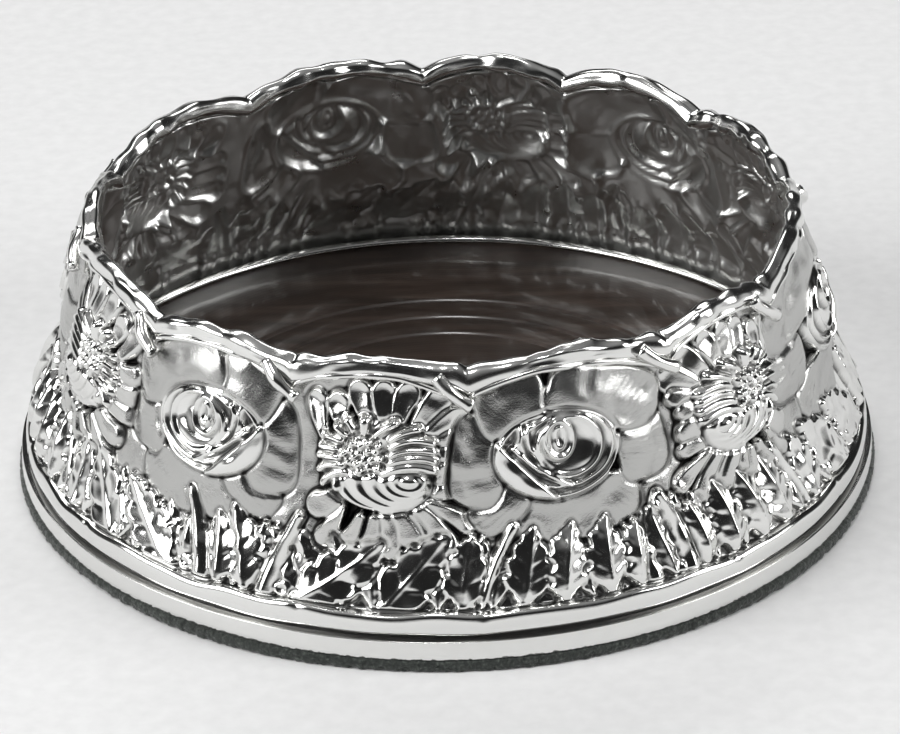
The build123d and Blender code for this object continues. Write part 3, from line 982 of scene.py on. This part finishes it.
rim_turns = even_turns(rim_columns)
side_turns = even_turns(rim_sides)
rim_seat = wall_valley + scallops(rim_turns)
rim_middle = flare(rim_seat) - sheet_thickness / 2
rim_girth = np.zeros((rim_sides, rim_columns))
for _ in range(rim_buds):
    bud = chance.uniform(0, 2 * pi)
    bud_side = chance.uniform(0, 2 * pi)
    away = turn_between(rim_turns, bud) * rim_circle / chance.uniform(1.0, 2.6)
    beside = turn_between(side_turns, bud_side)[:, None] / 0.7
    rim_girth += chance.uniform(0.1, 0.45) * np.exp(-away ** 2 - beside ** 2)
lumps = np.roll(soften(chance.normal(size=rim_girth.shape), 6), 3 * rim_sides // 4, 0)
lumps = ease_round(lumps, 70)
rim_girth += ripple(rim_turns, 20, 70, 0.18) + 0.12 * lumps / lumps.std()
rim_rise = np.zeros(rim_columns)
for valley, knot in zip(valley_turns, valley_knots):
    swelling = hump(turn_between(rim_turns, radians(valley)) * rim_circle, valley_knot_run)
    rim_girth += (0.25 + 0.55 * knot) * swelling
    rim_rise += valley_knot_rise * knot * swelling
for k in range(bark_ridges):
    bark = chance.uniform(0, 2 * pi)
    rim_girth += 0.07 * np.cos((k + 2) * side_turns[:, None] + bark + ripple(rim_turns, 4, 16, 1.0))
rim_bore = branch_radius + rim_girth
rim_radii = rim_middle + rim_bore * np.cos(side_turns)[:, None]
rim_heights = rim_seat + rim_rise + branch_radius - branch_sunk + rim_bore * np.sin(side_turns)[:, None]
rim_points = ring_points(rim_radii, np.minimum(rim_heights, rim_top), rim_columns)
rim_quads = ring_quads(rim_sides, rim_columns)

# A thin shoot winds down the outer side of the branch along each scallop
shoot_orbit = branch_radius + 0.25
shoot_girth = 0.55 + ripple(rim_turns, 20, 70, 0.09)
shoot_slide = 0.2 - 0.75 * lobe_places(rim_turns) + ripple(rim_turns, 8, 30, 0.25)
shoot_slide = ease_round(shoot_slide, 12)
shoot_bow = np.arcsin(np.clip((shoot_slide - branch_radius) / shoot_orbit, -0.85, 0.85))
shoot_radii = rim_middle + shoot_orbit * np.cos(shoot_bow) + shoot_girth * np.cos(side_turns)[:, None]
shoot_heights = rim_seat + shoot_slide + shoot_girth * np.sin(side_turns)[:, None]
rim_quads = np.vstack([rim_quads, ring_quads(rim_sides, rim_columns) + len(rim_points)])
rim_points = np.vstack([rim_points, ring_points(shoot_radii, shoot_heights, rim_columns)])

# The cut side twigs
twig_sides = 14
twig_circle = 62.0
twig_start = 5.0
twig_rise = 2.8
twig_point = 0.02


def tube(path, girths, sides):
    """Points and faces of a tube along a path, with its half width at each point of the path."""
    points = []
    path = [Vector(p) for p in path]
    for k, here in enumerate(path):
        ahead = (path[min(k + 1, len(path) - 1)] - path[max(k - 1, 0)]).normalized()
        out = Vector((here.x, here.y, 0)).normalized()
        out = (out - ahead * out.dot(ahead)).normalized()
        beside = ahead.cross(out)
        for s in range(sides):
            turn = 2 * pi * s / sides
            points.append(here + (out * cos(turn) + beside * sin(turn)) * girths[k])
    return np.array(points), ring_quads(len(path), sides, False)


def place_on_wall(angle, height, lift):
    """Point in millimetres that stands off the wall by a lift."""
    radius, level = wall_rows(np.array(height), lift)
    return (radius * sin(radians(angle)), -radius * cos(radians(angle)), float(level))


for k, (valley, knot) in enumerate(zip(valley_turns, valley_knots)):
    run = chance.uniform(7.0, 8.4)
    lean = chance.uniform(0.8, 1.0)
    top = wall_valley + twig_rise + valley_knot_rise * knot
    path = []
    girths = []
    for share in np.linspace(0, 1, 13):
        angle = valley + degrees((run * share * sin(lean) - twig_start) / twig_circle)
        height = top - run * share * cos(lean) - 0.5 * sin(pi * share)
        path.append(place_on_wall(angle, height, 1.0 + 1.2 * smooth(share, 0, 0.5)))
        girths.append(1.25 - 0.25 * share + 0.1 * sin(8 * share + k) + 0.25 * smooth(share, 0.85, 1))
    path = path[:1] + path + path[-1:] * 3
    girths = [twig_point] + girths + [0.85, 0.7, twig_point]
    points, quads = tube(path, girths, twig_sides)
    rim_quads = np.vstack([rim_quads, quads + len(rim_points)])
    rim_points = np.vstack([rim_points, points])
cast_silver = polished_silver("cast_silver_twig", 0.16, 0.3)
rim = piece_from("twig_rim", rim_points, rim_quads, cast_silver)
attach(rim, "root")
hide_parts("branch_rim")

# Studio
# A plain pale table of matt paper, wide enough to reach past every view.
# Soft boxes stand on both sides, behind and above, and the rest of the room is dark but for its horizon.
table_half = 4.0


def pale_paper():
    """Matt pale grey paper with the faintest mottling."""
    mottle_mm = 3
    material = new_material("pale_matt_paper")
    place = add_node(material, "ShaderNodeTexCoord").outputs["Object"]
    mottle = add_node(
        material, "ShaderNodeTexNoise", {"Vector": place, "Scale": 1 / (mottle_mm * mm), "Detail": 4.0}
    )
    tone = add_node(
        material, "ShaderNodeValToRGB", {"Fac": mottle.outputs["Fac"]},
        stops=[(0.3, "#E3E3E3"), (0.7, "#EAEAEA")],
    )
    surface = add_node(
        material, "ShaderNodeBsdfPrincipled",
        {"Base Color": tone.outputs[0], "Roughness": 0.9, "Specular IOR Level": 0.1},
    )
    add_node(material, "ShaderNodeOutputMaterial", {"Surface": surface.outputs[0]})
    return material


table_mesh = bpy.data.meshes.new("table_top")
table_corners = [(x * table_half, y * table_half, 0) for x, y in ((-1, -1), (1, -1), (1, 1), (-1, 1))]
table_mesh.from_pydata(table_corners, [], [(0, 1, 2, 3)])
table_mesh.materials.append(pale_paper())
table = bpy.data.objects.new("table_top", table_mesh)
bpy.context.collection.objects.link(table)


def softbox(name, place, target, size, power):
    """Area lamp at a place in metres, turned to a target."""
    lamp = bpy.data.lights.new(name, "AREA")
    lamp.shape = "RECTANGLE"
    lamp.size, lamp.size_y = size
    lamp.energy = power
    box = bpy.data.objects.new(name, lamp)
    box.location = place
    box.rotation_euler = (Vector(target) - Vector(place)).to_track_quat("-Z", "Y").to_euler()
    bpy.context.collection.objects.link(box)


softbox("softbox_left", (-1.1, -0.45, 0.75), (0, 0, 0.02), (1.0, 0.9), 14.5)
softbox("softbox_right", (1.12, -0.25, 0.62), (0, 0, 0.02), (0.7, 0.8), 8.5)
softbox("softbox_back", (-0.2, 1.0, 1.1), (0, 0, 0.02), (1.2, 0.5), 6.5)
softbox("softbox_top", (-0.1, -0.35, 1.7), (0, -0.1, 0), (0.3, 0.3), 6)

world = bpy.data.worlds.new("studio_room")
bpy.context.scene.world = world
world.use_nodes = True
world.node_tree.nodes.clear()
room = add_node(world, "ShaderNodeTexCoord")
room_axes = add_node(world, "ShaderNodeSeparateXYZ", {"Vector": room.outputs["Generated"]})
room_tone = add_node(
    world, "ShaderNodeValToRGB", {"Fac": room_axes.outputs["Z"]},
    stops=[(0.0, "#D8D8D8"), (0.07, "#B0B0B0"), (0.16, "#303030"), (0.6, "#222222"), (1.0, "#A0A0A0")],
)
room_light = add_node(world, "ShaderNodeBackground", {"Color": room_tone.outputs[0], "Strength": 0.8})
add_node(world, "ShaderNodeOutputWorld", {"Surface": room_light.outputs[0]})
bpy.context.scene.view_settings.view_transform = "Standard"

# Camera
# A long lens that looks down on the coaster from the front, with a slight roll.
# It was fitted to the ellipses of felt, band, floor and rim in the photograph.
camera_distance = 0.722
camera_height_angle = radians(29.14)
camera_target = Vector((0.0008, 0, 0.0158))
camera_roll = radians(-1.045)
focal_pixels = 4040
image_width = 900

camera_data = bpy.data.cameras.new("camera")
camera_data.sensor_fit = "HORIZONTAL"
camera_data.sensor_width = 36
camera_data.lens = focal_pixels / image_width * camera_data.sensor_width
camera_data.clip_start = 0.01
camera = bpy.data.objects.new("camera", camera_data)
camera_place = camera_distance * Vector((0, -cos(camera_height_angle), sin(camera_height_angle)))
forward = (camera_target - camera_place).normalized()
level_right = forward.cross(Vector((0, 0, 1))).normalized()
level_up = level_right.cross(forward)
right = level_right * cos(camera_roll) + level_up * sin(camera_roll)
above = level_up * cos(camera_roll) - level_right * sin(camera_roll)
facing = Matrix((right, above, -forward)).transposed().to_4x4()
camera.matrix_world = Matrix.Translation(camera_place) @ facing
bpy.context.collection.objects.link(camera)
bpy.context.scene.camera = camera
